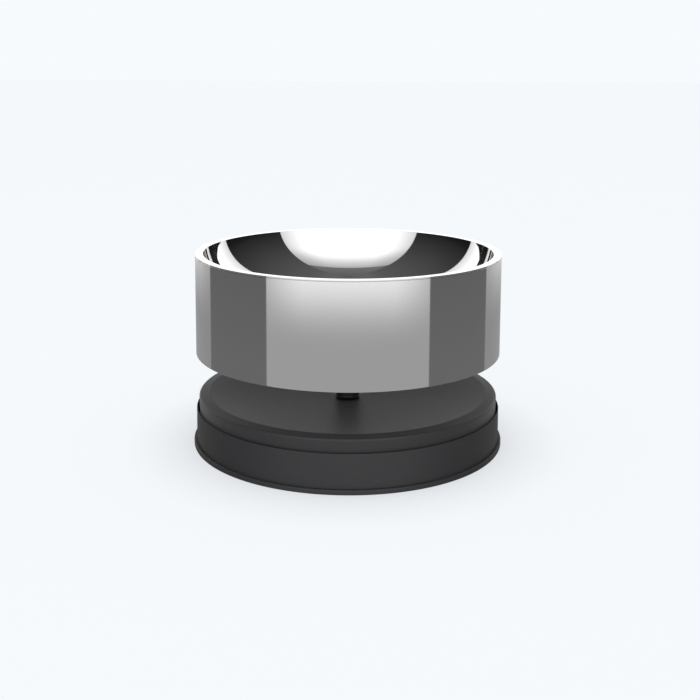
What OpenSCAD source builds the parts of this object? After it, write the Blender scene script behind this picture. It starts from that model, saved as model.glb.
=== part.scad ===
// Raised stainless dog bowl: a double wall steel bowl that lifts off the post of a black round base.
// Origin: centre of the footprint on the floor. +Z up, the front faces -Y.

/* [Bowl] */
// Outer radius of the rim
rim_r = 100; // [90:1:120]
// Width of the flat rim lip
lip_w = 5.1; // [4:0.1:7]
// Sheet thickness of the basin and its lip
basin_t = 1; // [0.8:0.1:1.4]
// Radius of the basin's flat floor
basin_floor_r = 39.2; // [20:0.2:50]
// Slope of the basin's wall at the lip, in degrees from upright
basin_slope = 11.8; // [4:0.2:20]
// Height from the drum's lower edge to the top of the rim
drum_h = 66; // [58:1:90]
// How much wider the drum is at its lower edge than at the rim, on the radius
drum_flare = 1.36; // [0.4:0.02:2]
// Sheet thickness of the drum wall
wall_t = 0.8; // [0.5:0.1:1.2]
// Rounding of the rim's outer edge
rim_round = 0.4; // [0.2:0.1:0.6]

/* [Bowl underside] */
// Height of the bottom plate above the drum's lower edge
plate_recess = 10; // [8:0.5:14]
// Sheet thickness of the bottom plate
plate_t = 0.8; // [0.5:0.1:1.2]
// Height of the bottom plate's welded flange
plate_flange_h = 6; // [3:0.5:10]
// Height of the empty space between the bottom plate and the basin
void_h = 8.9; // [6:0.1:12]

/* [Post and socket] */
// Height of the drum's lower edge above the top of the base
lift_gap = 28.1; // [22:0.1:45]
// Radius of the post's column
post_r = 8; // [7:0.5:11]
// Radius of the post's foot and of its shoulder
post_foot_r = 14; // [12:0.5:18]
// Thickness of the post's foot and of its shoulder
post_foot_t = 2.6; // [2:0.1:4]
// Height of the cone under the post's shoulder
post_flare_h = 5; // [2:0.5:9]
// Radius of the spigot that enters the socket
spigot_r = 8; // [7:0.25:9]
// Thickness of the rubber ring on the post's shoulder
pad_t = 1.2; // [0.8:0.1:2]
// Wall of the socket's rubber liner
liner_t = 2; // [1.5:0.1:2.5]
// Wall of the socket's hub outside the liner
hub_wall = 3; // [2:0.25:4]
// Thickness of the socket's screw flange
socket_flange_t = 2.4; // [1.8:0.1:3]
// Width of the socket's screw flange outside its hub
socket_flange_w = 9; // [8:0.5:12]

/* [Base shell] */
// Radius of the platform's wall
platform_r = 100.3; // [90:0.1:120]
// Height of the platform's outer edge above the floor
platform_h = 33.8; // [31:0.1:45]
// Wall thickness of the platform
platform_t = 2.4; // [2:0.1:3]
// Width of the sloped ring round the dish
ring_w = 6.9; // [5:0.1:12]
// Rise of the sloped ring from its outer edge to the dish
ring_rise = 0.86; // [0.3:0.02:2]
// Depth of the dish at its middle
dish_depth = 5.5; // [3:0.1:6.5]
// Rounding of the platform's outer edge
platform_round = 1.2; // [0.6:0.1:2]

/* [Skirt and foot] */
// Height of the skirt's top edge above the floor
skirt_top = 25.2; // [22:0.1:28]
// Width of the groove between the platform and the skirt
groove_w = 1.25; // [0.8:0.05:2]
// Depth of the groove
groove_depth = 8; // [5:0.5:10]
// Thickness of the skirt beside the groove
skirt_lip_t = 0.6; // [0.5:0.05:1.2]
// Thickness of the skirt's wall below its ledge
skirt_t = 2.2; // [1.8:0.1:3]
// How much wider the skirt is at the foot than at its top edge, on the radius
skirt_flare = 0.6; // [0.2:0.05:1.5]
// Thickness of the skirt's inner ledge
ledge_t = 3; // [2:0.25:4]
// Height of the foot ring
foot_h = 3.2; // [2.4:0.1:4.5]
// How far the foot ring stands out from the skirt
foot_lip_w = 1.9; // [1.4:0.1:3]
// Rubber under the skirt's lower edge
foot_floor_t = 1.2; // [0.8:0.1:1.8]

/* [Inside the base] */
// Thickness of the bottom cover
cover_t = 2.4; // [2:0.1:3]
// Height of the cover above the floor
cover_lift = 1.6; // [1.3:0.1:2]
// Thickness of the ballast disc
ballast_t = 4; // [3:0.25:6]
// Distance of the cover screws from the inside of the platform's wall
screw_inset = 12; // [10:0.5:16]
// Count of the cover screws
cover_screw_count = 6; // [4:1:8]
// Count of the pegs that hold the ballast down
peg_count = 3; // [3:1:6]
// Count of the socket screws
socket_screw_count = 4; // [3:1:6]

/* [Hidden] */
$fn = 96;
steps = 22;             // points along a curved outline
overrun = 1;            // how far a cutting solid runs past the face that it cuts
weld_gap = 0.05;        // clearance between pieces that are fixed to each other
slide_gap = 0.3;        // clearance round the spigot, which slides in its liner
flat_share = 0.74;      // place of the flat on a keyed round, as a share of its radius

// Fasteners
m3_r = 1.5;
m3_clear_r = 1.7;
m3_head_r = 2.9;
m3_head_h = 2;
m3_nut_r = 3.18;
m3_nut_h = 2.4;
m3_tip = 1;             // how far a screw stands out of its nut
m3_bite = 10;           // thread in a plastic boss
m6_r = 3;
m6_clear_r = 3.3;
m6_head_r = 5;
m6_head_h = 6;
m6_hex_r = 2.9;         // hexagon socket in the bolt's head
m6_bite = 14;           // thread in the post
washer_r = 8;
washer_t = 1.2;

// Heights of the bowl
ring_top = platform_h + ring_rise;
drum_bottom = ring_top + lift_gap;
rim_top = drum_bottom + drum_h;
lip_bottom = rim_top - basin_t;
plate_bottom = drum_bottom + plate_recess;
plate_top = plate_bottom + plate_t;
basin_r = rim_r - lip_w;
basin_depth = drum_h - plate_recess - plate_t - void_h - basin_t;
basin_floor = rim_top - basin_depth;
// The basin's wall is part of an arc about a centre that lies over the edge of its floor
arc_w = (basin_r - basin_floor_r) / cos(basin_slope);
arc_h = basin_depth / (1 - sin(basin_slope));
lip_under_r = basin_r + basin_t * (1 - sin(basin_slope)) / cos(basin_slope);

// Heights and radii of the post and socket
hub_setback = 1;        // how far the hub's face lies inside the drum's lower edge
hub_roof_t = 1;
spigot_tip_gap = 0.5;
hub_bottom = drum_bottom + hub_setback;
liner_in_r = spigot_r + slide_gap;
liner_out_r = liner_in_r + liner_t;
hub_bore_r = liner_out_r + weld_gap;
hub_r = hub_bore_r + hub_wall;
liner_top = plate_bottom - hub_roof_t;
shoulder_top = hub_bottom - pad_t;
socket_screw_r = hub_r + socket_flange_w / 2;
shoulder_r = max(post_foot_r, hub_r - weld_gap);

// Heights and radii of the base
dish_r = platform_r - ring_w;
dish_bottom = ring_top - dish_depth;
seat_z = dish_bottom - post_foot_t; // the post's foot lies flush in the dish
seal_r = 1;             // section of the O-ring
seal_groove = seal_r + weld_gap;
seal_floor = seat_z - 2 * seal_groove;
seal_wall = 2;         // from the O-ring to the edge of the post's foot
seal_circle_r = post_foot_r - seal_wall - seal_r;
cover_top = cover_lift + cover_t;
bolt_room = 2;          // free height under the bolt's head
platform_hub_bottom = cover_top + bolt_room + m6_head_h + washer_t;
groove_floor = skirt_top - groove_depth;
groove_out_r = platform_r + groove_w;
skirt_top_r = groove_out_r + skirt_lip_t;
skirt_foot_r = skirt_top_r + skirt_flare;
ledge_reach = 1.4;      // how far the ledge reaches in past the platform's wall
ledge_in_r = platform_r - platform_t - ledge_reach;
ledge_bottom = groove_floor - ledge_t;
foot_r = skirt_foot_r + foot_lip_w;
foot_in_w = 6;          // width of the foot ring under the cover
foot_round = 0.7;
cover_r = skirt_foot_r - skirt_t - slide_gap;
well_r = 5.5;           // outside of a screw well in the cover
well_floor_t = 2.4;
head_sink = 1;          // how far a cover screw's head lies inside its well
well_depth = m3_head_h + head_sink;
well_top = cover_lift + well_depth + well_floor_t;
boss_r = 4.5;
boss_circle_r = platform_r - platform_t - screw_inset;
rail_t = 2;             // ring on the cover that centres the ballast
rail_gap = 1;           // from that ring to the screw wells
rail_out_r = boss_circle_r - well_r - rail_gap;
ballast_r = rail_out_r - rail_t - slide_gap;
wrench_room = 7;        // free width round the washer inside the ballast
ballast_hole_r = washer_r + wrench_room;
peg_r = 3;
peg_circle_r = (ballast_r + ballast_hole_r) / 2;
ballast_top = cover_top + ballast_t;
clamp_t = 2.4;          // ring on the cover that clamps the skirt's ledge

function drum_out_r(z) = rim_r + drum_flare * (rim_top - z) / drum_h;
function drum_in_r(z) = drum_out_r(z) - wall_t;
function skirt_out_r(z) = skirt_top_r + skirt_flare * (skirt_top - z) / (skirt_top - foot_floor_t);
function dish_z(r) = ring_top - dish_depth * (1 - pow(r / dish_r, 2));

// Points of the basin's wall from the lip to the edge of its floor, moved outwards by t
function basin_points(t, first = 0) = [
    for (i = [first : steps])
        let (
            a = basin_slope + (90 - basin_slope) * i / steps,
            n = [cos(a) / arc_w, sin(a) / arc_h],
            out = t * n / norm(n)
        )
        [basin_floor_r + arc_w * cos(a) + out[0], basin_floor + arc_h * (1 - sin(a)) - out[1]]
];

// Points of the dish from the middle outwards, lowered by t
function dish_points(t) = [for (i = [0 : steps]) [dish_r * i / steps, dish_z(dish_r * i / steps) - t]];

// Quarter round from angle a0 to a0 + 90 about c
function corner(c, r, a0, n = 6) = [for (i = [0 : n]) c + r * [cos(a0 + 90 * i / n), sin(a0 + 90 * i / n)]];

function reversed(p) = [for (i = [len(p) - 1 : -1 : 0]) p[i]];

module ring(r_in, r_out, z0, z1) {
    translate([0, 0, z0])
        difference() {
            cylinder(r = r_out, h = z1 - z0);
            translate([0, 0, -overrun]) cylinder(r = r_in, h = z1 - z0 + 2 * overrun);
        }
}

// A cylinder with one flat towards the back
module keyed_round(r, z0, z1) {
    translate([0, 0, z0])
        intersection() {
            cylinder(r = r, h = z1 - z0);
            translate([-2 * r, -2 * r, -overrun]) cube([4 * r, r * (2 + flat_share), z1 - z0 + 2 * overrun]);
        }
}

module around(count, r, turn = 0) {
    for (i = [0 : count - 1])
        rotate([0, 0, turn + 360 * i / count]) translate([r, 0, 0]) children();
}

module inner_bowl() {
    color("#d9dadb")
        rotate_extrude($fn = 180)
            polygon(concat(
                basin_points(0),
                [[0, basin_floor], [0, basin_floor - basin_t]],
                reversed(basin_points(basin_t, 1)),
                [[lip_under_r, lip_bottom], [rim_r, lip_bottom]],
                corner([rim_r - rim_round, rim_top - rim_round], rim_round, 0)
            ));
}

module outer_wall() {
    color("#a9aaab")
        rotate_extrude($fn = 180)
            polygon([
                [drum_out_r(lip_bottom), lip_bottom],
                [drum_in_r(lip_bottom), lip_bottom],
                [drum_in_r(drum_bottom), drum_bottom],
                [drum_out_r(drum_bottom), drum_bottom]
            ]);
}

module bottom_plate() {
    flange_top = plate_bottom + plate_flange_h;
    color("#9b9c9e")
        difference() {
            rotate_extrude($fn = 180)
                polygon([
                    [0, plate_bottom],
                    [drum_in_r(plate_bottom) - weld_gap, plate_bottom],
                    [drum_in_r(flange_top) - weld_gap, flange_top],
                    [drum_in_r(flange_top) - weld_gap - plate_t, flange_top],
                    [drum_in_r(plate_top) - weld_gap - plate_t, plate_top],
                    [0, plate_top]
                ]);
            around(socket_screw_count, socket_screw_r, 45)
                translate([0, 0, plate_bottom - overrun])
                    cylinder(r = m3_clear_r, h = plate_t + 2 * overrun, $fn = 32);
        }
}

module post_socket() {
    color("#2b2b2d")
        difference() {
            union() {
                translate([0, 0, hub_bottom]) cylinder(r = hub_r, h = plate_bottom - hub_bottom);
                translate([0, 0, plate_bottom - socket_flange_t])
                    cylinder(r = hub_r + socket_flange_w, h = socket_flange_t);
            }
            keyed_round(hub_bore_r, hub_bottom - overrun, liner_top);
            around(socket_screw_count, socket_screw_r, 45)
                translate([0, 0, hub_bottom]) cylinder(r = m3_clear_r, h = plate_recess, $fn = 32);
        }
}

module socket_liner() {
    color("#4a4a4c")
        difference() {
            keyed_round(liner_out_r, hub_bottom, liner_top);
            keyed_round(liner_in_r, hub_bottom - overrun, liner_top + overrun);
        }
}

module socket_screws() {
    flange_bottom = plate_bottom - socket_flange_t;
    color("#c4c5c7")
        around(socket_screw_count, socket_screw_r, 45) {
            translate([0, 0, flange_bottom - m3_head_h]) cylinder(r = m3_head_r, h = m3_head_h, $fn = 40);
            translate([0, 0, flange_bottom])
                cylinder(r = m3_r, h = socket_flange_t + plate_t + m3_nut_h + m3_tip, $fn = 32);
        }
}

module weld_nuts() {
    color("#b5b6b8")
        around(socket_screw_count, socket_screw_r, 45)
            translate([0, 0, plate_top])
                difference() {
                    cylinder(r = m3_nut_r, h = m3_nut_h, $fn = 6);
                    translate([0, 0, -overrun])
                        cylinder(r = m3_r + weld_gap, h = m3_nut_h + 2 * overrun, $fn = 32);
                }
}

module centre_post() {
    foot_top = seat_z + post_foot_t;
    shoulder_bottom = shoulder_top - post_foot_t;
    color("#262628")
        difference() {
            union() {
                translate([0, 0, seat_z]) cylinder(r = post_foot_r, h = post_foot_t);
                translate([0, 0, foot_top]) cylinder(r = post_r, h = shoulder_bottom - foot_top);
                translate([0, 0, shoulder_bottom - post_flare_h])
                    cylinder(r1 = post_r, r2 = shoulder_r - post_foot_t / 2, h = post_flare_h);
                translate([0, 0, shoulder_bottom]) cylinder(r = shoulder_r, h = post_foot_t);
                keyed_round(spigot_r, shoulder_top, liner_top - spigot_tip_gap);
            }
            translate([0, 0, seat_z - overrun])
                cylinder(r = m6_r + weld_gap, h = m6_bite + 2 * overrun, $fn = 48);
        }
}

module post_pad() {
    color("#3c3c3e") ring(spigot_r + weld_gap, hub_r, shoulder_top, hub_bottom);
}

module post_seal() {
    color("#1d1d1f")
        translate([0, 0, seal_floor + seal_r])
            rotate_extrude($fn = 96) translate([seal_circle_r, 0]) circle(r = seal_r, $fn = 32);
}

module post_bolt() {
    head_top = platform_hub_bottom - washer_t;
    color("#8e8f92")
        difference() {
            union() {
                translate([0, 0, head_top - m6_head_h]) cylinder(r = m6_head_r, h = m6_head_h);
                translate([0, 0, head_top]) cylinder(r = m6_r, h = seat_z + m6_bite - head_top, $fn = 48);
            }
            translate([0, 0, head_top - m6_head_h - overrun])
                cylinder(r = m6_hex_r, h = m6_head_h / 2 + overrun, $fn = 6);
        }
}

module post_washer() {
    color("#b9babc") ring(m6_clear_r, washer_r, platform_hub_bottom - washer_t, platform_hub_bottom);
}

// The dish, the ring and the wall as one skin, with what stands under them
module platform() {
    wall_in_r = platform_r - platform_t;
    edge_c = [platform_r - platform_round, platform_h - platform_round];
    hub_in_dish_r = post_foot_r + platform_t;
    color("#2a2a2c")
        difference() {
            union() {
                rotate_extrude($fn = 180)
                    polygon(concat(
                        dish_points(0),
                        reversed(corner(edge_c, platform_round, 0)),
                        [[platform_r, groove_floor], [wall_in_r, groove_floor],
                         [wall_in_r, platform_h - platform_t], [dish_r, ring_top - platform_t]],
                        reversed(dish_points(platform_t))
                    ));
                translate([0, 0, platform_hub_bottom])
                    cylinder(r = hub_in_dish_r, h = dish_bottom - platform_t / 2 - platform_hub_bottom);
                around(cover_screw_count, boss_circle_r, 30)
                    translate([0, 0, well_top])
                        cylinder(r = boss_r, h = dish_z(boss_circle_r - boss_r) - platform_t / 2 - well_top);
                around(peg_count, peg_circle_r, 90)
                    translate([0, 0, ballast_top])
                        cylinder(r = peg_r, h = dish_z(peg_circle_r - peg_r) - platform_t / 2 - ballast_top);
            }
            translate([0, 0, seat_z]) cylinder(r = post_foot_r + weld_gap, h = dish_depth + post_foot_t);
            ring(seal_circle_r - seal_groove, seal_circle_r + seal_groove, seal_floor, seat_z + overrun);
            translate([0, 0, platform_hub_bottom - overrun])
                cylinder(r = m6_clear_r, h = seat_z - platform_hub_bottom + 2 * overrun, $fn = 48);
            around(cover_screw_count, boss_circle_r, 30)
                translate([0, 0, well_top - overrun])
                    cylinder(r = m3_r + weld_gap, h = m3_bite + 2 * overrun, $fn = 32);
        }
}

module skirt() {
    color("#242426")
        rotate_extrude($fn = 180)
            polygon([
                [skirt_foot_r - skirt_t, foot_floor_t],
                [skirt_foot_r, foot_floor_t],
                [skirt_top_r, skirt_top],
                [groove_out_r, skirt_top],
                [groove_out_r, groove_floor],
                [ledge_in_r, groove_floor],
                [ledge_in_r, ledge_bottom],
                [skirt_out_r(ledge_bottom) - skirt_t, ledge_bottom]
            ]);
}

module foot_ring() {
    channel_out_r = skirt_foot_r + weld_gap;
    channel_in_r = skirt_foot_r - skirt_t - weld_gap;
    color("#1f1f21")
        rotate_extrude($fn = 180)
            polygon(concat(
                [[channel_in_r - foot_in_w, 0], [foot_r - foot_round / 2, 0], [foot_r, foot_round / 2]],
                corner([foot_r - foot_round, foot_h - foot_round], foot_round, 0),
                [[channel_out_r, foot_h], [channel_out_r, foot_floor_t], [channel_in_r, foot_floor_t],
                 [channel_in_r, cover_lift], [channel_in_r - foot_in_w, cover_lift]]
            ));
}

module bottom_cover() {
    color("#303032")
        difference() {
            union() {
                translate([0, 0, cover_lift]) cylinder(r = cover_r, h = cover_t, $fn = 180);
                ring(ledge_in_r, ledge_in_r + clamp_t, cover_lift, ledge_bottom);
                ring(rail_out_r - rail_t, rail_out_r, cover_lift, ballast_top);
                around(cover_screw_count, boss_circle_r, 30)
                    translate([0, 0, cover_lift]) cylinder(r = well_r, h = well_top - cover_lift);
            }
            around(cover_screw_count, boss_circle_r, 30) {
                translate([0, 0, cover_lift - overrun])
                    cylinder(r = m3_head_r + slide_gap, h = well_depth + overrun, $fn = 40);
                translate([0, 0, cover_lift]) cylinder(r = m3_clear_r, h = well_top, $fn = 32);
            }
        }
}

module ballast_disc() {
    color("#6f7073") ring(ballast_hole_r, ballast_r, cover_top, ballast_top);
}

module cover_screws() {
    head_top = cover_lift + well_depth;
    color("#c4c5c7")
        around(cover_screw_count, boss_circle_r, 30) {
            translate([0, 0, head_top - m3_head_h]) cylinder(r = m3_head_r, h = m3_head_h, $fn = 40);
            translate([0, 0, head_top]) cylinder(r = m3_r, h = well_floor_t + m3_bite, $fn = 32);
        }
}

inner_bowl();
outer_wall();
bottom_plate();
post_socket();
socket_liner();
socket_screws();
weld_nuts();
platform();
skirt();
foot_ring();
centre_post();
post_pad();
post_seal();
post_bolt();
post_washer();
ballast_disc();
bottom_cover();
cover_screws();
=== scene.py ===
import math
import bpy
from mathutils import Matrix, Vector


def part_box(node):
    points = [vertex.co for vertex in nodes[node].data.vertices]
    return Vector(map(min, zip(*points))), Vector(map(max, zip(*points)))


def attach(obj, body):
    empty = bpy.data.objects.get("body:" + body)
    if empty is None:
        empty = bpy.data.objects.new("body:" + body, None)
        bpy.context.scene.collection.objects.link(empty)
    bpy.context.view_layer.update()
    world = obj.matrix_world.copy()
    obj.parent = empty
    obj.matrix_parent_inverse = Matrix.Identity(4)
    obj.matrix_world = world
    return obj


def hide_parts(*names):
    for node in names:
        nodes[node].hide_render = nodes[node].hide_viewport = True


# Stainless pet bowl raised on a short post over a black round base.
# Lengths are in metres, +Z is up and the front faces -Y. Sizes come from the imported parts.
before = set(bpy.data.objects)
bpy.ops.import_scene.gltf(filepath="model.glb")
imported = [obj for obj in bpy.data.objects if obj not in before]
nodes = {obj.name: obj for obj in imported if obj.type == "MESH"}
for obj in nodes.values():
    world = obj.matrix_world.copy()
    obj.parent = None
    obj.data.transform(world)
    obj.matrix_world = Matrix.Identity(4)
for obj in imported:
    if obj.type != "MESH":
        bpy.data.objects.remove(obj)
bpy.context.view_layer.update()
print("frame loaded:", len(nodes), "parts")


def hexColour(code):
    # an sRGB hex colour as the linear values that shaders work in
    parts = [int(code[i:i + 2], 16) / 255 for i in (1, 3, 5)]
    return [c / 12.92 if c <= 0.04045 else ((c + 0.055) / 1.055) ** 2.4 for c in parts] + [1]


def addNode(tree, kind, settings=None, inputs=None):
    # adds a node, sets its options and ramp stops, and links or sets its inputs
    node = tree.nodes.new(kind)
    for name, value in (settings or {}).items():
        if name == "stops":
            ramp = node.color_ramp
            while len(ramp.elements) < len(value):
                ramp.elements.new(0.5)
            for element, (position, level) in zip(ramp.elements, value):
                element.position = position
                element.color = (level, level, level, 1)
        else:
            setattr(node, name, value)
    for name, value in (inputs or {}).items():
        if isinstance(value, bpy.types.NodeSocket):
            tree.links.new(value, node.inputs[name])
        else:
            node.inputs[name].default_value = value
    return node


def newMaterial(name):
    material = bpy.data.materials.new(name)
    material.use_nodes = True
    tree = material.node_tree
    tree.nodes.clear()
    return material, tree, addNode(tree, "ShaderNodeOutputMaterial")


def dress(piece, material):
    piece.data.materials.clear()
    piece.data.materials.append(material)


# Camera, fitted to eight circles of the object in the photograph
photoCamera = {
    "place": (0, -0.6624, 0.2417),
    "pitchDown": 15.26,     # degrees below the horizon
    "roll": 0.27,           # degrees
    "lens": 52.23,          # mm
    "sensor": 36,           # mm
    "shiftX": 0.003,
    "shiftY": -0.0002,
    "clipStart": 0.01,
}


def makeCamera(size):
    bpy.ops.object.camera_add(
        location=size["place"], rotation=(math.radians(90 - size["pitchDown"]), 0, 0))
    camera = bpy.context.object
    camera.name = "photoCamera"
    camera.rotation_euler.rotate_axis("Z", math.radians(size["roll"]))
    camera.data.lens = size["lens"]
    camera.data.sensor_width = size["sensor"]
    camera.data.shift_x = size["shiftX"]
    camera.data.shift_y = size["shiftY"]
    camera.data.clip_start = size["clipStart"]
    bpy.context.scene.camera = camera


bpy.context.scene.view_settings.view_transform = "Standard"
makeCamera(photoCamera)
print("camera placed")

# Pale studio: floor, soft light, and a dome that only the shiny surfaces see
studio = {
    "paper": "#f6fafd",
    # grey of the painted contact shadow, which the floor's glow takes on near the foot
    "paintedShadowColour": "#bfbcc2",
    "paintedShadowReach": 0.05,   # how far from the foot the painted contact shadow starts
    "floorSize": 60,
    "shadowShare": 0.12,    # how much of the wide shadow the floor shows as well
    "skyLevel": 0.86,
    "lampPower": 2.4,       # watts
    "lampSize": 1.2,
    "lampPlace": (-0.35, -0.5, 1.25),
    "domeRadius": 20,
    "domeSegments": 96,
    "domeStrength": 1.4,
    "frontEdge": 60.6,      # degrees from the front to the edge of the front panel
    "rearEdge": 121.3,      # degrees from the front to the edge of the rear panel
    "backEdge": 144,        # degrees from the front to the back wall
    "edgeBlur": 0.004,      # half the width of the soft line between panels, as a share of the radius
    "roundBelow": -0.1,     # under this height, a share of the radius, front and rear panels are round
    "flatAbove": 0.05,      # and over this one they are flat walls
    "sillFrom": 134,        # degrees from the front where the rear panel's sill starts to climb
    "sillClimb": 0.3,
    "evenWithin": 33.3,     # degrees from its middle over which a panel is evenly bright
    "fadedOut": 71.2,       # degrees from its middle where it would be no brighter than its foot
    "lowest": -20,          # degrees under the horizon where the panel levels start
}
# Level of each panel by its height in degrees
panelLevels = {
    "front": [(-20, 0.343), (-11.9, 0.343), (-11.4, 0.378), (-10.8, 0.444), (-10.2, 0.553),
              (-9.2, 0.76), (-7.6, 1), (0, 1.12), (50, 1.12), (54, 1.04), (58, 0.89), (64.3, 0.65),
              (74.3, 0.38), (74.8, 0.14), (90, 0.09)],
    "side": [(-20, 0.14), (-14, 0.138), (-9.2, 0.12), (-7, 0.12), (-5.5, 0.006), (5, 0.0065),
             (10, 0.0099), (15, 0.0184), (30, 0.0357), (45, 0.0538), (70, 0.08), (74, 0.086),
             (79, 0.102), (84, 0.104), (90, 0.09)],
    "rear": [(-20, 0.257), (-12, 0.257), (-11.1, 0.308), (-10.1, 0.393), (-9.2, 0.51), (-7, 0.57),
             (-6, 0.01), (5.4, 0.01), (6, 1.2), (54, 1.2), (58, 0.865), (64.3, 0.627), (73.8, 0.37),
             (74.2, 0.14), (90, 0.09)],
    "back": [(-20, 0.257), (-12, 0.257), (-11.1, 0.308), (-10.1, 0.393), (-9.2, 0.51), (-7, 0.6),
             (4, 0.6), (7, 1), (13, 1), (15.5, 0.08), (31, 0.04), (42, 0.5), (80, 0.5), (83, 0.1),
             (90, 0.09)],
}


def makeFloor(size):
    bpy.ops.mesh.primitive_plane_add(size=size["floorSize"])
    floor = bpy.context.object
    floor.name = "studioFloor"
    material, tree, out = newMaterial("studioPaper")
    paper = hexColour(size["paper"])
    path = addNode(tree, "ShaderNodeLightPath")
    matte = addNode(tree, "ShaderNodeBsdfDiffuse", None, {"Color": paper})
    # painted shadow: ambient occlusion mixes the floor's glow colour from paper towards a grey near the
    # foot
    contact = addNode(tree, "ShaderNodeAmbientOcclusion", None, {"Distance": size["paintedShadowReach"]})
    seen = addNode(tree, "ShaderNodeMix", {"data_type": "RGBA"},
                   {0: contact.outputs["AO"], 6: hexColour(size["paintedShadowColour"]), 7: paper})
    glow = addNode(tree, "ShaderNodeEmission", None, {"Color": seen.outputs[2], "Strength": 1})
    # the camera sees paper with a painted shadow tight round the foot, as a soft studio sweep has it: its
    # glow darkens towards a grey where ambient occlusion finds the object, and only a small share is the
    # floor's real shadow
    share = addNode(tree, "ShaderNodeMath", {"operation": "MULTIPLY"},
                    {0: path.outputs["Is Camera Ray"], 1: 1 - size["shadowShare"]})
    both = addNode(tree, "ShaderNodeMixShader", None,
                   {0: share.outputs[0], 1: matte.outputs[0], 2: glow.outputs[0]})
    tree.links.new(both.outputs[0], out.inputs["Surface"])
    dress(floor, material)
    floor.visible_glossy = False    # the steel shows the dome below the horizon too


def makeSky(size):
    world = bpy.data.worlds.new("studioSky")
    bpy.context.scene.world = world
    world.use_nodes = True
    tree = world.node_tree
    tree.nodes.clear()
    path = addNode(tree, "ShaderNodeLightPath")
    light = addNode(tree, "ShaderNodeBackground", None,
                    {"Color": (1, 1, 1, 1), "Strength": size["skyLevel"]})
    # straight views, mirrored ones and those through clear things show the paper instead
    seen = addNode(tree, "ShaderNodeBackground", None, {"Color": hexColour(size["paper"]), "Strength": 1})
    sight = addNode(tree, "ShaderNodeMath", {"operation": "MAXIMUM"},
                    {0: path.outputs["Is Camera Ray"], 1: path.outputs["Is Glossy Ray"]})
    sightAll = addNode(tree, "ShaderNodeMath", {"operation": "MAXIMUM"},
                       {0: sight.outputs[0], 1: path.outputs["Is Transmission Ray"]})
    both = addNode(tree, "ShaderNodeMixShader", None,
                   {0: sightAll.outputs[0], 1: light.outputs[0], 2: seen.outputs[0]})
    out = addNode(tree, "ShaderNodeOutputWorld")
    tree.links.new(both.outputs[0], out.inputs["Surface"])


def makeLamp(size):
    x, y, z = size["lampPlace"]
    bpy.ops.object.light_add(type="AREA", location=(x, y, z),
                             rotation=(math.atan2(-y, z), math.atan2(x, math.hypot(y, z)), 0))
    lamp = bpy.context.object
    lamp.name = "softLamp"
    lamp.data.energy = size["lampPower"]
    lamp.data.size = size["lampSize"]
    lamp.visible_glossy = False


def pastEdge(tree, heading, degrees):
    # how far a level heading lies past an upright edge, which is so many degrees from the front
    turn = math.radians(degrees)
    return addNode(tree, "ShaderNodeVectorMath", {"operation": "DOT_PRODUCT"},
                   {0: heading.outputs[0], 1: (math.cos(turn), math.sin(turn), 0)})


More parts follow.
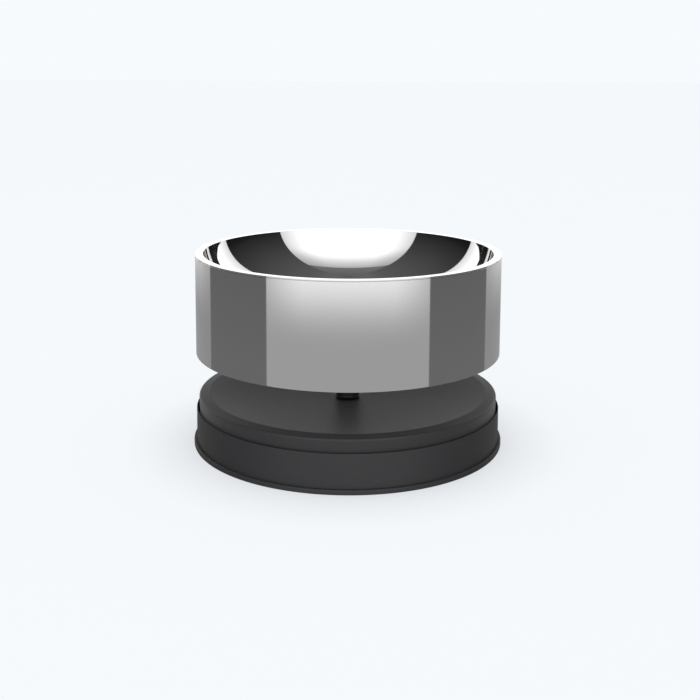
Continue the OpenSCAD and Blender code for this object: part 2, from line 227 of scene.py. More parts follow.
def makeDome(size, levels):
    bpy.ops.mesh.primitive_uv_sphere_add(
        segments=size["domeSegments"], ring_count=size["domeSegments"] // 2, radius=size["domeRadius"])
    dome = bpy.context.object
    dome.name = "studioDome"
    bpy.ops.object.shade_smooth()
    material, tree, out = newMaterial("studioPanels")
    spot = addNode(tree, "ShaderNodeTexCoord")
    aim = addNode(tree, "ShaderNodeVectorMath", {"operation": "NORMALIZE"}, {0: spot.outputs["Object"]})
    parts = addNode(tree, "ShaderNodeSeparateXYZ", None, {0: aim.outputs[0]})
    across = addNode(tree, "ShaderNodeMath", {"operation": "ABSOLUTE"}, {0: parts.outputs["X"]})
    level = addNode(tree, "ShaderNodeCombineXYZ", None, {"X": across.outputs[0], "Y": parts.outputs["Y"]})
    folded = addNode(tree, "ShaderNodeVectorMath", {"operation": "NORMALIZE"}, {0: level.outputs[0]})
    # each panel is even in its middle and fades towards its upright edges
    facing = addNode(tree, "ShaderNodeSeparateXYZ", None, {0: folded.outputs[0]})
    depth = addNode(tree, "ShaderNodeMath", {"operation": "ABSOLUTE"}, {0: facing.outputs["Y"]})
    fade = addNode(tree, "ShaderNodeMapRange", None,
                   {"Value": depth.outputs[0], "From Min": math.cos(math.radians(size["fadedOut"])),
                    "From Max": math.cos(math.radians(size["evenWithin"]))})
    # on a flat wall the levels follow the height over the distance to the wall
    away = addNode(tree, "ShaderNodeMath", {"operation": "ABSOLUTE"}, {0: parts.outputs["Y"]})
    flatness = addNode(tree, "ShaderNodeMapRange", None,
                       {"Value": parts.outputs["Z"], "From Min": size["roundBelow"],
                        "From Max": size["flatAbove"]})
    distance = addNode(tree, "ShaderNodeMath", {"operation": "POWER"},
                       {0: away.outputs[0], 1: flatness.outputs[0]})
    # the rear panel's sill climbs towards the back
    past = pastEdge(tree, folded, size["sillFrom"])
    climb = addNode(tree, "ShaderNodeMapRange", None,
                    {"Value": past.outputs["Value"], "To Max": size["sillClimb"]})
    above = addNode(tree, "ShaderNodeMapRange", None,
                    {"Value": parts.outputs["Z"], "From Max": size["flatAbove"]})
    sill = addNode(tree, "ShaderNodeMath", {"operation": "MULTIPLY"},
                   {0: climb.outputs[0], 1: above.outputs[0]})
    lifted = addNode(tree, "ShaderNodeMath", {"operation": "SUBTRACT"},
                     {0: parts.outputs["Z"], 1: sill.outputs[0]})
    rise = addNode(tree, "ShaderNodeMath", {"operation": "ARCTAN2"},
                   {0: lifted.outputs[0], 1: distance.outputs[0]})
    tilt = addNode(tree, "ShaderNodeMath", {"operation": "ARCSINE"}, {0: parts.outputs["Z"]})
    glows = {}
    for name, stops in levels.items():
        height = addNode(tree, "ShaderNodeMapRange", None,
                         {"Value": (tilt if name in ("side", "back") else rise).outputs[0],
                          "From Min": math.radians(size["lowest"]), "From Max": math.pi / 2})
        places = [((degrees - size["lowest"]) / (90 - size["lowest"]), amount) for degrees, amount in stops]
        full = addNode(tree, "ShaderNodeValToRGB", {"stops": places}, {0: height.outputs[0]})
        faded = addNode(tree, "ShaderNodeMapRange", None,
                        {"Value": fade.outputs[0], "To Min": stops[0][1], "To Max": full.outputs[0]})
        least = addNode(tree, "ShaderNodeMath", {"operation": "MINIMUM"},
                        {0: full.outputs[0], 1: faded.outputs[0]})
        glows[name] = full if name == "side" else least
    shown = glows["front"]
    for name, edge in (("side", "frontEdge"), ("rear", "rearEdge"), ("back", "backEdge")):
        beyond = pastEdge(tree, folded, size[edge])
        share = addNode(tree, "ShaderNodeMapRange", {"interpolation_type": "SMOOTHSTEP"},
                        {"Value": beyond.outputs["Value"], "From Min": -size["edgeBlur"],
                         "From Max": size["edgeBlur"]})
        shown = addNode(tree, "ShaderNodeMapRange", None,
                        {"Value": share.outputs[0], "To Min": shown.outputs[0],
                         "To Max": glows[name].outputs[0]})
    glow = addNode(tree, "ShaderNodeEmission", None,
                   {"Color": shown.outputs[0], "Strength": size["domeStrength"]})
    tree.links.new(glow.outputs[0], out.inputs["Surface"])
    dress(dome, material)
    dome.visible_camera = False
    dome.visible_diffuse = False
    dome.visible_transmission = False
    dome.visible_shadow = False


makeFloor(studio)
makeSky(studio)
makeLamp(studio)
makeDome(studio, panelLevels)
print("studio set")


# Finishes
def polishedStainless():
    # 304 stainless, drawn and buffed to a mirror: clear reflections, with faint buffing arcs
    look = {
        "colour": "#e6e6e6",
        "roughness": (0.02, 0.05),
        "hazeScale": 30,
        "arcRadian": 0.0012,    # metres for one radian of the ring wave, so the arcs are 7.5 mm apart
        "unitRadian": 0.05,     # the same at a texture scale of 1
        "arcWobble": 6,
        "arcDepth": 0.00000003,
        "detail": 3,
    }
    material, tree, out = newMaterial("polishedStainless")
    spot = addNode(tree, "ShaderNodeTexCoord")
    haze = addNode(tree, "ShaderNodeTexNoise", None,
                   {"Vector": spot.outputs["Object"], "Scale": look["hazeScale"], "Detail": look["detail"]})
    rough = addNode(tree, "ShaderNodeMapRange", None,
                    {"Value": haze.outputs[0], "To Min": look["roughness"][0],
                     "To Max": look["roughness"][1]})
    arcs = addNode(tree, "ShaderNodeTexWave", {"wave_type": "RINGS", "rings_direction": "Z"},
                   {"Vector": spot.outputs["Object"], "Scale": look["unitRadian"] / look["arcRadian"],
                    "Distortion": look["arcWobble"], "Detail": look["detail"]})
    bump = addNode(tree, "ShaderNodeBump", None,
                   {"Height": arcs.outputs[0], "Distance": look["arcDepth"]})
    steel = addNode(tree, "ShaderNodeBsdfPrincipled", None,
                    {"Base Color": hexColour(look["colour"]), "Metallic": 1, "Roughness": rough.outputs[0],
                     "Normal": bump.outputs[0]})
    tree.links.new(steel.outputs[0], out.inputs["Surface"])
    return material


def buffedStainless():
    # 304 stainless, buffed around the drum: reflections a touch softer and darker than in the basin, and a
    # trace of grain. Real grain is about 0.1 mm wide; it is drawn at 0.7 mm so that it shows.
    look = {
        "colour": "#d5d5d5",
        "roughness": (0.035, 0.06),
        "grainWidth": 0.0007,
        "grainLength": 0.09,
        "grainDepth": 0.00000006,
        "detail": 4,
    }
    material, tree, out = newMaterial("buffedStainless")
    spot = addNode(tree, "ShaderNodeTexCoord")
    along, wide = 1 / look["grainLength"], 1 / look["grainWidth"]
    stretched = addNode(tree, "ShaderNodeMapping", None,
                        {"Vector": spot.outputs["Object"], "Scale": (along, along, wide)})
    grain = addNode(tree, "ShaderNodeTexNoise", None,
                    {"Vector": stretched.outputs[0], "Scale": 1, "Detail": look["detail"]})
    rough = addNode(tree, "ShaderNodeMapRange", None,
                    {"Value": grain.outputs[0], "To Min": look["roughness"][0],
                     "To Max": look["roughness"][1]})
    bump = addNode(tree, "ShaderNodeBump", None,
                   {"Height": grain.outputs[0], "Distance": look["grainDepth"]})
    steel = addNode(tree, "ShaderNodeBsdfPrincipled", None,
                    {"Base Color": hexColour(look["colour"]), "Metallic": 1, "Roughness": rough.outputs[0],
                     "Normal": bump.outputs[0]})
    tree.links.new(steel.outputs[0], out.inputs["Surface"])
    return material


def plainSteel(name, colour, roughness, mottleSize, spread=0.08, detail=5):
    # bare, plated or cast metal with a slight mottle in its shine
    material, tree, out = newMaterial(name)
    spot = addNode(tree, "ShaderNodeTexCoord")
    mottle = addNode(tree, "ShaderNodeTexNoise", None,
                     {"Vector": spot.outputs["Object"], "Scale": 1 / mottleSize, "Detail": detail})
    rough = addNode(tree, "ShaderNodeMapRange", None,
                    {"Value": mottle.outputs[0], "To Min": roughness - spread,
                     "To Max": roughness + spread})
    steel = addNode(tree, "ShaderNodeBsdfPrincipled", None,
                    {"Base Color": hexColour(colour), "Metallic": 1, "Roughness": rough.outputs[0]})
    tree.links.new(steel.outputs[0], out.inputs["Surface"])
    return material


def blackMoulded(name, colours, roughness, grainSize, grainDepth, specular, sheen=0,
                 sheenRoughness=0.5, driftScale=25, spread=0.05, detail=2):
    # black plastic or rubber: a fine moulded grain, a colour that drifts slightly, and a soft skin's sheen
    material, tree, out = newMaterial(name)
    spot = addNode(tree, "ShaderNodeTexCoord")
    drift = addNode(tree, "ShaderNodeTexNoise", None,
                    {"Vector": spot.outputs["Object"], "Scale": driftScale, "Detail": detail})
    colour = addNode(tree, "ShaderNodeMix", {"data_type": "RGBA"},
                     {0: drift.outputs[0], 6: hexColour(colours[0]), 7: hexColour(colours[1])})
    grain = addNode(tree, "ShaderNodeTexNoise", None,
                    {"Vector": spot.outputs["Object"], "Scale": 1 / grainSize, "Detail": detail})
    rough = addNode(tree, "ShaderNodeMapRange", None,
                    {"Value": grain.outputs[0], "To Min": roughness - spread, "To Max": roughness + spread})
    bump = addNode(tree, "ShaderNodeBump", None, {"Height": grain.outputs[0], "Distance": grainDepth})
    skin = addNode(tree, "ShaderNodeBsdfPrincipled", None,
                   {"Base Color": colour.outputs[2], "Roughness": rough.outputs[0],
                    "Specular IOR Level": specular, "Sheen Weight": sheen,
                    "Sheen Roughness": sheenRoughness, "Normal": bump.outputs[0]})
    tree.links.new(skin.outputs[0], out.inputs["Surface"])
    return material


polished = polishedStainless()
buffed = buffedStainless()
# dull 2B sheet, as it left the press
pressed = plainSteel("pressedStainless", "#b9b9ba", roughness=0.34, mottleSize=0.02)
# bright zinc over rolled thread
plated = plainSteel("zincPlatedSteel", "#bcbdc0", roughness=0.3, mottleSize=0.0015)
# raw sand casting
castIron = plainSteel("castIron", "#6f6f70", roughness=0.62, mottleSize=0.003)
# soft touch paint over moulded ABS
shellSkin = blackMoulded("softTouchAbs", ("#262628", "#29292b"), roughness=0.5,
                         grainSize=0.0008, grainDepth=0.000008, specular=0.45, sheen=0.14)
# silicone rubber from a blasted mould
rubberSkin = blackMoulded("siliconeRubber", ("#29292b", "#2c2c2e"), roughness=0.55,
                          grainSize=0.0006, grainDepth=0.00001, specular=0.5)
# nitrile rubber, dull and slightly grey
sealSkin = blackMoulded("nitrileRubber", ("#363638", "#3a3a3c"), roughness=0.7,
                        grainSize=0.0005, grainDepth=0.00001, specular=0.4)
# polyester powder coat with its orange peel
coatSkin = blackMoulded("powderCoat", ("#262628", "#29292b"), roughness=0.42,
                        grainSize=0.0015, grainDepth=0.00003, specular=0.5)
# polypropylene with a spark eroded grain
coverSkin = blackMoulded("mouldedPolypropylene", ("#2b2b2d", "#303032"), roughness=0.58,
                         grainSize=0.0009, grainDepth=0.00002, specular=0.45)
print("finishes mixed")


# Modelling
turning = {
    "turns": 256,           # round the axis
    "smoothBelow": 32,      # degrees
    "roundSteps": 5,        # of a rounded corner
    "supportReach": 1.5,    # from a rounded corner to the ring beside it, in roundings
    "supportMost": 0.4,     # the same as a share of the side; a shorter side gets no ring
    "firstPlane": 0.001,    # merged into the first corner
    "weld": 0.000002,
    "cornerReach": 0.00001,
}


def selectOnly(piece):
    bpy.ops.object.select_all(action="DESELECT")
    piece.select_set(True)
    bpy.context.view_layer.objects.active = piece


def selectCorners(piece, test):
    # in edit mode, selects only the vertices that pass the test
    bpy.ops.object.mode_set(mode="OBJECT")
    for edge in piece.data.edges:
        edge.select = False
    for face in piece.data.polygons:
        face.select = False
    for corner in piece.data.vertices:
        corner.select = test(corner.co)
    bpy.ops.object.mode_set(mode="EDIT")
    bpy.ops.mesh.select_mode(type="VERT")


def withSupports(outline):
    # adds a ring on each side of a rounded corner, so that the faces beside it stay flat when shaded smooth
    points = []
    for i, corner in enumerate(outline):
        rings = [[], []]
        if len(corner) > 2:
            for ring, other in zip(rings, (outline[i - 1], outline[(i + 1) % len(outline)])):
                share = turning["supportReach"] * corner[2] / math.dist(other[:2], corner[:2])
                if share < turning["supportMost"]:
                    ring.append(tuple(a + (b - a) * share for a, b in zip(corner[:2], other[:2])))
        points += rings[0] + [corner] + rings[1]
    return points


def turnPiece(name, outline, turns=turning["turns"], smoothBelow=turning["smoothBelow"]):
    # extrudes an outline of (radius, height, rounding) corners, rounds them, and spins it about the axis
    outline = withSupports(outline)
    bpy.ops.object.select_all(action="DESELECT")
    bpy.ops.mesh.primitive_plane_add(size=turning["firstPlane"])
    piece = bpy.context.object
    piece.name = piece.data.name = name
    bpy.ops.object.mode_set(mode="EDIT")
    bpy.ops.mesh.select_mode(type="VERT")
    bpy.ops.mesh.merge(type="CENTER")
    bpy.ops.transform.translate(value=(outline[0][0], 0, outline[0][1]))
    closed = outline[0][0] > 0
    corners = outline + outline[:1] if closed else outline
    for before, after in zip(corners, corners[1:]):
        step = (after[0] - before[0], 0, after[1] - before[1])
        bpy.ops.mesh.extrude_region_move(TRANSFORM_OT_translate={"value": step})
    bpy.ops.mesh.select_all(action="SELECT")
    bpy.ops.mesh.remove_doubles(threshold=turning["weld"])
    for corner in outline:
        if len(corner) > 2:
            selectCorners(piece, lambda co: abs(co.x - corner[0]) < turning["cornerReach"]
                          and abs(co.z - corner[1]) < turning["cornerReach"])
            bpy.ops.mesh.bevel(offset=corner[2], segments=turning["roundSteps"], affect="VERTICES")
    bpy.ops.mesh.select_all(action="SELECT")
    bpy.ops.mesh.spin(steps=turns, angle=math.tau, center=(0, 0, 0), axis=(0, 0, 1))
    bpy.ops.mesh.select_all(action="SELECT")
    bpy.ops.mesh.remove_doubles(threshold=turning["weld"])
    bpy.ops.mesh.normals_make_consistent(inside=False)
    bpy.ops.object.mode_set(mode="OBJECT")
    bpy.ops.object.shade_smooth_by_angle(angle=math.radians(smoothBelow))
    return piece


def joinPieces(pieces):
    bpy.ops.object.select_all(action="DESELECT")
    for piece in pieces:
        piece.select_set(True)
    bpy.context.view_layer.objects.active = pieces[0]
    bpy.ops.object.join()
    return pieces[0]


def ringOfCopies(piece, count, radius, firstTurn):
    # copies a piece round a circle, each copy with its own mesh, and removes the first one
    copies = []
    for i in range(count):
        turn = math.radians(firstTurn + 360 * i / count)
        selectOnly(piece)
        bpy.ops.object.duplicate()
        copy = bpy.context.object
        copy.location = (radius * math.cos(turn), radius * math.sin(turn), 0)
        copy.rotation_euler.z = turn
        bpy.ops.object.transform_apply(location=True, rotation=True, scale=False)
        copies.append(copy)
    selectOnly(piece)
    bpy.ops.object.delete()
    return joinPieces(copies)


def cutAway(piece, cutter):
    selectOnly(piece)
    cut = piece.modifiers.new("cut", "BOOLEAN")
    cut.operation = "DIFFERENCE"
    cut.solver = "EXACT"
    cut.object = cutter
    bpy.ops.object.modifier_apply(modifier="cut")
    selectOnly(cutter)
    bpy.ops.object.delete()


def place(piece, material, body, slotName, *stoodFor):
    dress(piece, material)
    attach(piece, body)
    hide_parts(*stoodFor)


# Bowl
bowlLow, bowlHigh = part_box("inner_bowl")
wallLow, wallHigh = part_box("outer_wall")
plateLow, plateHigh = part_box("bottom_plate")
rimRadius, rimTop = bowlHigh.x, bowlHigh.z
lipBottom, drumBottom, drumFootRadius = wallHigh.z, wallLow.z, wallHigh.x
basinSize = {
    "lipWidth": 0.0051,
    "sheet": 0.001,
    "wallSlope": 11.8,      # degrees from upright, at the lip
    "floorRadius": 0.0392,
    "bend": 0.0001,         # inner edge of the lip
    "edge": 0.0002,         # outer edge of the lip
    "seam": 0.00012,        # the fine welded line under the lip
    "rings": 72,
    "hiddenRings": 24,
}
drumSize = {
    "wall": 0.0008,
    "edge": 0.0003,
    "seam": 0.00012,
}
plateSize = {
    "sheet": 0.0008,
    "bend": 0.0014,         # outside of the bend between the plate and its flange
    "gap": 0.00005,
}


def makeBasin(size):
    radius = rimRadius - size["lipWidth"]
    slope = math.radians(size["wallSlope"])
    floorHeight = bowlLow.z + size["sheet"]
    arcWidth = (radius - size["floorRadius"]) / math.cos(slope)
    arcHeight = (rimTop - floorHeight) / (1 - math.sin(slope))

    def wallArc(out, rings):
        # from the edge of the floor up to the lip, moved outwards by out
        points = []
        for i in range(rings + 1):
            turn = math.pi / 2 + (slope - math.pi / 2) * i / rings
            across, down = math.cos(turn) / arcWidth, math.sin(turn) / arcHeight
            length = math.hypot(across, down)
            points.append((size["floorRadius"] + arcWidth * math.cos(turn) + out * across / length,
                           floorHeight + arcHeight * (1 - math.sin(turn)) - out * down / length))
        return points

    underLip = radius + size["sheet"] * (1 - math.sin(slope)) / math.cos(slope)
    basin = turnPiece("innerBowl", [(0, floorHeight)] + wallArc(0, size["rings"])[:-1] + [
        (radius, rimTop, size["bend"]),
        (rimRadius, rimTop, size["edge"]),
        (rimRadius, lipBottom, size["seam"]),
        (underLip, lipBottom),
    ] + wallArc(size["sheet"], size["hiddenRings"])[-2::-1] + [(0, floorHeight - size["sheet"])])
    place(basin, polished, "bowl", "basin_steel", "inner_bowl")


def drumRadius(height):
    return rimRadius + (drumFootRadius - rimRadius) * (rimTop - height) / (rimTop - drumBottom)


def makeDrum(size):
    drum = turnPiece("drumWall", [
        (drumRadius(lipBottom), lipBottom, size["seam"]),
        (drumRadius(lipBottom) - size["wall"], lipBottom),
        (drumFootRadius - size["wall"], drumBottom, size["edge"]),
        (drumFootRadius, drumBottom, size["edge"]),
    ])
    place(drum, buffed, "bowl", "drum_steel", "outer_wall")


def makeBottomPlate(size):
    low, high = plateLow.z, plateHigh.z
    lowEdge = drumRadius(low) - drumSize["wall"] - size["gap"]
    highEdge = drumRadius(high) - drumSize["wall"] - size["gap"]
    plate = turnPiece("bottomPlate", [
        (0, low),
        (lowEdge, low, size["bend"]),
        (highEdge, high),
        (highEdge - size["sheet"], high),
        (lowEdge - size["sheet"], low + size["sheet"], size["bend"] - size["sheet"]),
        (0, low + size["sheet"]),
    ])
    place(plate, pressed, "bowl", "plate_steel", "bottom_plate")


makeBasin(basinSize)
makeDrum(drumSize)
makeBottomPlate(plateSize)
print("bowl turned")

# Base
shellLow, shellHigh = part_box("platform")
skirtLow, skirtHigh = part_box("skirt")
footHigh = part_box("foot_ring")[1]
coverLow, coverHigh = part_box("bottom_cover")
sealLow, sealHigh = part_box("post_seal")
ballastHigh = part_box("ballast_disc")[1]
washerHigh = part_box("post_washer")[1]
screwLow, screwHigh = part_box("cover_screws")
screwSize = {
    "headRadius": 0.0029,
    "headHeight": 0.002,
    "dome": 0.0011,         # rounding of the head's edge
    "driveRadius": 0.0017,
    "driveCorners": 8,      # four arm ends and four inner corners
    "driveInner": 0.3,      # an inner corner lies further than this share of the radius off both axes
    "driveWaist": 0.4,      # inner corners of the cross, as a share of its radius
    "driveDepth": 0.0013,
    "driveTaper": 0.55,
    "threadRadius": 0.0015,
    "coreRadius": 0.00124,
    "pitch": 0.0005,
    "point": 0.0006,        # chamfer at the screw's tip
    "turns": 40,
    "smoothBelow": 40,      # degrees
}
screwCircle = screwHigh.y - screwSize["headRadius"]
shellSize = {
    "wall": 0.0024,
    "ringWidth": 0.0069,
    "ringRise": 0.00086,
    "dishDepth": 0.0055,
    "edge": 0.0012,
    "crease": 0.0005,
    "lowerEdge": 0.0003,
    "seatRadius": 0.01405,
    "seatDepth": 0.0026,
    "boltHole": 0.0033,
    "grooveFloor": 0.0172,
    "hubRadius": 0.0164,
    "gap": 0.00005,
    "bossCount": 6,
    "bossFirst": 30,        # degrees round from +X
    "bossRadius": 0.0045,
    "pilotRadius": 0.00155,
    "pegCount": 3,
    "pegFirst": 90,         # degrees round from +X
    "pegRadius": 0.003,
    "pegCircle": 0.04605,
    "bossTurns": 32,        # also of the pegs
    "rings": 40,
    "underStep": 4,         # the underside has every fourth ring of the dish
}
skirtSize = {
    "wall": 0.0022,
    "lipWall": 0.0006,
    "lipEdge": 0.00018,
    "topRadius": 0.10215,
    "grooveFloor": 0.0172,
    "ledgeBottom": 0.0142,
    "ledgeRadius": 0.0965,
    "edge": 0.0004,
}
footSize = {
    "height": 0.0032,
    "round": 0.0007,
    "width": 0.006,         # of the part under the cover
    "seatHeight": 0.0012,
    "edge": 0.0002,
    "gap": 0.00005,
}
coverSize = {
    "sheet": 0.0024,
    "edge": 0.0004,
    "wellRadius": 0.0032,
    "wellOuter": 0.0055,
    "wellDepth": 0.003,
    "wellFloor": 0.0024,
    "wellEdge": 0.0004,
    "wellTurns": 48,
    "clampRadius": 0.0965,
    "clampWall": 0.0024,
    "clampTop": 0.0142,
    "railWall": 0.002,
    "railGap": 0.0003,
}


def makeShell(size):
    outRadius, ringTop = shellHigh.x, shellHigh.z
    edgeTop = ringTop - size["ringRise"]
    dishRadius = outRadius - size["ringWidth"]
    seat = ringTop - size["dishDepth"] - size["seatDepth"]

    def dishHeight(radius):
        return ringTop - size["dishDepth"] * (1 - (radius / dishRadius) ** 2)

    radii = [size["seatRadius"] + (dishRadius - size["seatRadius"]) * i / size["rings"]
             for i in range(size["rings"])]
    hub, wall = size["hubRadius"], size["wall"]
    grooveOut = sealHigh.x + size["gap"]
    grooveIn = sealHigh.x - (sealHigh.z - sealLow.z) - size["gap"]
    skin = turnPiece("platformShell", [
        (size["boltHole"], seat),
        (grooveIn, seat),
        (grooveIn, sealLow.z),
        (grooveOut, sealLow.z),
        (grooveOut, seat),
        (size["seatRadius"], seat),
    ] + [(radius, dishHeight(radius)) for radius in radii] + [
        (dishRadius, ringTop, size["crease"]),
        (outRadius, edgeTop, size["edge"]),
        (outRadius, size["grooveFloor"], size["lowerEdge"]),
        (outRadius - wall, size["grooveFloor"]),
        (outRadius - wall, edgeTop - wall),
        (dishRadius, ringTop - wall),
    ] + [(radius, dishHeight(radius) - wall) for radius in radii[::-size["underStep"]] if radius > hub] + [
        (hub, dishHeight(hub) - wall),
        (hub, washerHigh.z),
        (size["boltHole"], washerHigh.z),
    ])
    # the screw bosses and the pegs over the ballast stand under the dish
    bossTop = dishHeight(screwCircle - size["bossRadius"]) - wall / 2
    boss = turnPiece("screwBoss", [
        (size["pilotRadius"], shellLow.z),
        (size["bossRadius"], shellLow.z, size["lowerEdge"]),
        (size["bossRadius"], bossTop),
        (size["pilotRadius"], bossTop),
    ], turns=size["bossTurns"])
    bosses = ringOfCopies(boss, size["bossCount"], screwCircle, size["bossFirst"])
    pegTop = dishHeight(size["pegCircle"] - size["pegRadius"]) - wall / 2
    peg = turnPiece("ballastPeg", [
        (0, ballastHigh.z),
        (size["pegRadius"], ballastHigh.z, size["lowerEdge"]),
        (size["pegRadius"], pegTop),
        (0, pegTop),
    ], turns=size["bossTurns"])
    pegs = ringOfCopies(peg, size["pegCount"], size["pegCircle"], size["pegFirst"])
    shell = joinPieces([skin, bosses, pegs])
    place(shell, shellSkin, "base", "shell_plastic", "platform")


def makeSkirt(size):
    footRadius, top, low = skirtHigh.x, skirtHigh.z, skirtLow.z
    flare = (footRadius - size["topRadius"]) / (top - low)
    ledgeOut = footRadius - size["wall"] - flare * (size["ledgeBottom"] - low)
    skirt = turnPiece("skirtSleeve", [
        (footRadius - size["wall"], low),
        (footRadius, low, size["edge"]),
        (size["topRadius"], top, size["lipEdge"]),
        (size["topRadius"] - size["lipWall"], top, size["lipEdge"]),
        (size["topRadius"] - size["lipWall"], size["grooveFloor"]),
        (size["ledgeRadius"], size["grooveFloor"], size["edge"]),
        (size["ledgeRadius"], size["ledgeBottom"], size["edge"]),
        (ledgeOut, size["ledgeBottom"]),
    ])
    place(skirt, rubberSkin, "base", "skirt_rubber", "skirt")


def makeFoot(size):
    outRadius = footHigh.x
    channelOut = skirtHigh.x + size["gap"]
    channelIn = skirtHigh.x - skirtSize["wall"] - size["gap"]
    underRadius = channelIn - size["width"]
    foot = turnPiece("footRing", [
        (underRadius, 0, size["edge"]),
        (outRadius, 0, size["round"] / 2),
        (outRadius, size["height"], size["round"]),
        (channelOut, size["height"], size["edge"]),
        (channelOut, size["seatHeight"]),
        (channelIn, size["seatHeight"]),
        (channelIn, coverLow.z),
        (underRadius, coverLow.z, size["edge"]),
    ])
    place(foot, rubberSkin, "base", "foot_rubber", "foot_ring")


def makeCover(size):
    low = coverLow.z
    wellTop = low + size["wellDepth"] + size["wellFloor"]
    railOut = ballastHigh.x + size["railGap"] + size["railWall"]
    disc = turnPiece("bottomCover", [
        (0, low),
        (coverHigh.x, low, size["edge"]),
        (coverHigh.x, low + size["sheet"], size["edge"]),
        (size["clampRadius"] + size["clampWall"], low + size["sheet"]),
        (size["clampRadius"] + size["clampWall"], size["clampTop"], size["edge"]),
        (size["clampRadius"], size["clampTop"], size["edge"]),
        (size["clampRadius"], low + size["sheet"]),
        (railOut, low + size["sheet"]),
        (railOut, ballastHigh.z, size["edge"]),
        (railOut - size["railWall"], ballastHigh.z, size["edge"]),
        (railOut - size["railWall"], low + size["sheet"]),
        (0, low + size["sheet"]),
    ])
    hole = turnPiece("wellHole", [
        (0, low - size["edge"]),
        (size["wellRadius"] + size["wellEdge"], low - size["edge"]),
        (size["wellRadius"] + size["wellEdge"], low),
        (size["wellRadius"], low + size["wellEdge"]),
        (size["wellRadius"], low + size["sheet"] + size["edge"]),
        (0, low + size["sheet"] + size["edge"]),
    ], turns=size["wellTurns"])
    cutAway(disc, ringOfCopies(hole, shellSize["bossCount"], screwCircle, shellSize["bossFirst"]))
    well = turnPiece("screwWell", [
        (screwSize["threadRadius"] + size["railGap"], low + size["wellDepth"]),
        (size["wellRadius"], low + size["wellDepth"]),
        (size["wellRadius"], low + size["wellEdge"]),
        (size["wellOuter"], low + size["wellEdge"]),
        (size["wellOuter"], wellTop, size["edge"]),
        (screwSize["threadRadius"] + size["railGap"], wellTop),
    ], turns=size["wellTurns"])
    wells = ringOfCopies(well, shellSize["bossCount"], screwCircle, shellSize["bossFirst"])
    cover = joinPieces([disc, wells])
    place(cover, coverSkin, "base", "cover_plastic", "bottom_cover")


def makeScrew(name, seat, tip, size):
    # a pan head screw whose head hangs below its seat, with a cross recess and a rolled thread
    head = seat - size["headHeight"]
    turns = int((tip - size["point"] - seat) / size["pitch"])
    thread = [(size["coreRadius"], seat)]
    for i in range(turns):
        thread += [(size["threadRadius"], seat + (i + 0.5) * size["pitch"]),
                   (size["coreRadius"], seat + (i + 1) * size["pitch"])]
    screw = turnPiece(name, [
        (0, head),
        (size["headRadius"], head, size["dome"]),
        (size["headRadius"], seat),
    ] + thread + [(size["coreRadius"] / 2, tip), (0, tip)],
        turns=size["turns"], smoothBelow=size["smoothBelow"])
    bpy.ops.object.select_all(action="DESELECT")
    bpy.ops.mesh.primitive_circle_add(
        vertices=size["driveCorners"], radius=size["driveRadius"], fill_type="NGON")
    cross = bpy.context.object
    bpy.ops.object.mode_set(mode="EDIT")
    bpy.ops.transform.translate(value=(0, 0, head - size["point"] / 2))
    offAxis = size["driveRadius"] * size["driveInner"]
    selectCorners(cross, lambda co: abs(co.x) > offAxis and abs(co.y) > offAxis)
    bpy.ops.transform.resize(value=(size["driveWaist"], size["driveWaist"], 1), center_override=(0, 0, 0))
    bpy.ops.mesh.select_all(action="SELECT")
    depth = size["driveDepth"] + size["point"] / 2
    bpy.ops.mesh.extrude_region_move(TRANSFORM_OT_translate={"value": (0, 0, depth)})
    bpy.ops.transform.resize(value=(size["driveTaper"], size["driveTaper"], 1), center_override=(0, 0, 0))
    bpy.ops.mesh.select_all(action="SELECT")
    bpy.ops.mesh.normals_make_consistent(inside=False)
    bpy.ops.object.mode_set(mode="OBJECT")
    cutAway(screw, cross)
    return screw


def makeCoverScrews(size):
    screw = makeScrew("coverScrews", screwLow.z + size["headHeight"], screwHigh.z, size)
    screws = ringOfCopies(screw, shellSize["bossCount"], screwCircle, shellSize["bossFirst"])
    place(screws, plated, "base", "fastener_steel", "cover_screws")


makeShell(shellSize)
makeSkirt(skirtSize)
makeFoot(footSize)
makeCover(coverSize)
makeCoverScrews(screwSize)
print("base turned")

# Post and socket
postLow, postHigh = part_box("centre_post")
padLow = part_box("post_pad")[0]
socketScrewLow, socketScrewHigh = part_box("socket_screws")
postSize = {
    "columnRadius": 0.008,
    "footHeight": 0.0026,
    "footEdge": 0.0002,
    "fillet": 0.0012,       # between the column and its foot and cone
    "flareHeight": 0.005,
    "shoulderEdge": 0.0006,
    "boltRadius": 0.00305,
    "boltDepth": 0.014,
    "flatShare": 0.74,      # place of the flat on the spigot, as a share of its radius
    "spigotEdge": 0.0008,
    "spigotSteps": 3,       # of its rounded edge
    "turns": 128,
}
socketSize = {
    "screwCount": 4,
    "screwFirst": 45,       # degrees round from +X
}


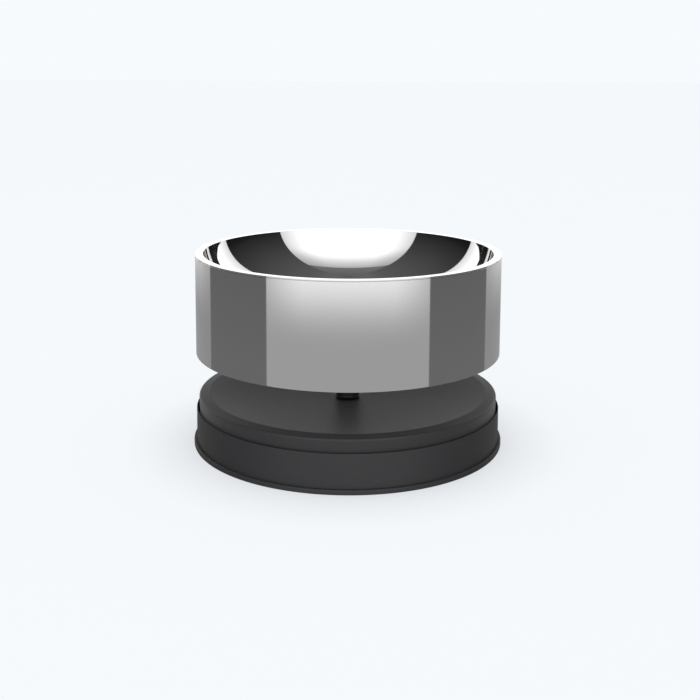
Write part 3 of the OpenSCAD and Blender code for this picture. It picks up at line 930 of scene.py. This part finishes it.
def makePost(size):
    column, shoulder = size["columnRadius"], postHigh.x
    shoulderTop = padLow.z
    shoulderBottom = shoulderTop - size["footHeight"]
    post = turnPiece("centrePost", [
        (size["boltRadius"], postLow.z),
        (shoulder, postLow.z, size["footEdge"]),
        (shoulder, postLow.z + size["footHeight"], size["footEdge"]),
        (column, postLow.z + size["footHeight"], size["fillet"]),
        (column, shoulderBottom - size["flareHeight"], size["fillet"]),
        (shoulder - size["footHeight"] / 2, shoulderBottom, size["footEdge"]),
        (shoulder, shoulderBottom, size["shoulderEdge"]),
        (shoulder, shoulderTop, size["shoulderEdge"]),
        (0, shoulderTop),
        (0, postLow.z + size["boltDepth"]),
        (size["boltRadius"], postLow.z + size["boltDepth"]),
    ], turns=size["turns"])
    bpy.ops.object.select_all(action="DESELECT")
    bpy.ops.mesh.primitive_cylinder_add(
        vertices=size["turns"], radius=column, depth=postHigh.z - shoulderTop,
        location=(0, 0, (postHigh.z + shoulderTop) / 2))
    spigot = bpy.context.object
    bpy.ops.object.transform_apply(location=True, rotation=True, scale=True)
    bpy.ops.object.mode_set(mode="EDIT")
    bpy.ops.mesh.bisect(
        plane_co=(0, column * size["flatShare"], 0), plane_no=(0, 1, 0), use_fill=True, clear_outer=True)
    selectCorners(spigot, lambda co: co.z > postHigh.z - size["footEdge"])
    bpy.ops.mesh.bevel(offset=size["spigotEdge"], segments=size["spigotSteps"], affect="EDGES")
    bpy.ops.object.mode_set(mode="OBJECT")
    bpy.ops.object.shade_smooth_by_angle(angle=math.radians(turning["smoothBelow"]))
    post = joinPieces([post, spigot])
    place(post, coatSkin, "base", "post_coating", "centre_post")


def makeSocketScrews(size, ring):
    circle = (socketScrewHigh.x - size["headRadius"]) / math.cos(math.radians(ring["screwFirst"]))
    screw = makeScrew("socketScrews", socketScrewLow.z + size["headHeight"], socketScrewHigh.z, size)
    screws = ringOfCopies(screw, ring["screwCount"], circle, ring["screwFirst"])
    place(screws, plated, "bowl", "fastener_steel", "socket_screws")


makePost(postSize)
makeSocketScrews(screwSize, socketSize)
print("post and screws made")

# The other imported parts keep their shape. They get their finish, and their sharp edges are broken.
partFinishes = {
    "post_socket": (coverSkin, 0.0005),
    "socket_liner": (sealSkin, 0.0004),
    "weld_nuts": (plated, 0.0002),
    "post_pad": (sealSkin, 0.0003),
    "post_seal": (sealSkin, 0),
    "post_bolt": (plated, 0.0004),
    "post_washer": (plated, 0.0002),
    "ballast_disc": (castIron, 0.0006),
}
edgeBreak = {
    "weld": 0.00001,
    "steps": 3,
    "sharpAbove": 40,       # degrees
}


def breakEdges(piece, width, size):
    weld = piece.modifiers.new("weld", "WELD")
    weld.merge_threshold = size["weld"]
    rounding = piece.modifiers.new("brokenEdges", "BEVEL")
    rounding.width = width
    rounding.segments = size["steps"]
    rounding.limit_method = "ANGLE"
    rounding.angle_limit = math.radians(size["sharpAbove"])


for name, (material, width) in partFinishes.items():
    dress(nodes[name], material)
    if width:
        breakEdges(nodes[name], width, edgeBreak)
print("parts dressed")
